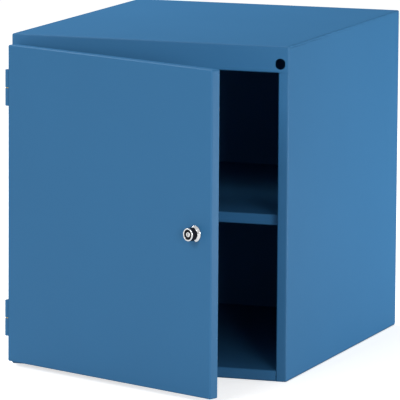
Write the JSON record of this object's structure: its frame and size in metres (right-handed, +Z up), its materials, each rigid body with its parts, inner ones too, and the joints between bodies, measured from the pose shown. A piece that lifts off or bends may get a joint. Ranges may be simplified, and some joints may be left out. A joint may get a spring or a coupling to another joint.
{
  "type": "under-bench cupboard",
  "caption": "Under-bench steel cupboard of folded sheet with a left-hung lift-off door, a turning knob lock and an inside shelf, fixed below a bench top or stood on its side flanges.",
  "frame": {"origin": "middle of the carcass's flat top face, where the underside of a bench top meets it", "axes": "+Z up, out of the top face; +X to the right of someone who faces the door; +Y from the door to the back"},
  "size_m": [0.4546, 0.7773, 0.515],
  "materials": {
    "blue_paint": "semi-gloss powder coat",
    "zinc_plate": "bright zinc plate",
    "chrome_plate": "polished chrome plate",
    "brass": "plain brass",
    "black_rubber": "matt rubber"
  },
  "bodies": {
    "carcass": {"top_panel": "blue_paint", "left_side_panel": "blue_paint", "right_side_panel": "blue_paint", "base_panel": "blue_paint", "back_panel": "blue_paint", "shelf": "blue_paint", "left_shelf_bearer": "blue_paint", "right_shelf_bearer": "blue_paint", "upper_hinge_frame_leaf": "blue_paint", "lower_hinge_frame_leaf": "blue_paint", "upper_hinge_pin": "zinc_plate", "lower_hinge_pin": "zinc_plate"},
    "door": {"door_panel": "blue_paint", "door_stiffener": "blue_paint", "upper_hinge_door_leaf": "blue_paint", "lower_hinge_door_leaf": "blue_paint", "upper_hinge_washer": "brass", "lower_hinge_washer": "brass", "upper_door_buffer": "black_rubber", "lower_door_buffer": "black_rubber", "lock_housing": "chrome_plate", "lock_washer": "zinc_plate", "lock_nut": "zinc_plate"},
    "knob": {"lock_knob": "chrome_plate", "lock_cam": "zinc_plate", "cam_washer": "zinc_plate", "cam_screw": "zinc_plate"},
    "plug": {"lock_key_plug": "chrome_plate"}
  },
  "joints": [
    {"name": "door_swing", "type": "hinge", "parent": "carcass", "child": "door", "pos_m": [-0.225, -0.2945, -0.2575], "axis": [0, 0, -1], "range_deg": [-25.6, 154.4]},
    {"name": "knob_turn", "type": "hinge", "parent": "door", "child": "knob", "pos_m": [0.14724, -0.47895, -0.2623], "axis": [0.4321, 0.9018, 0], "range_deg": [0, 90]},
    {"name": "key_turn", "type": "hinge", "parent": "knob", "child": "plug", "pos_m": [0.14724, -0.47895, -0.2623], "axis": [0.4321, 0.9018, 0], "range_deg": [0, 90]}
  ]
}
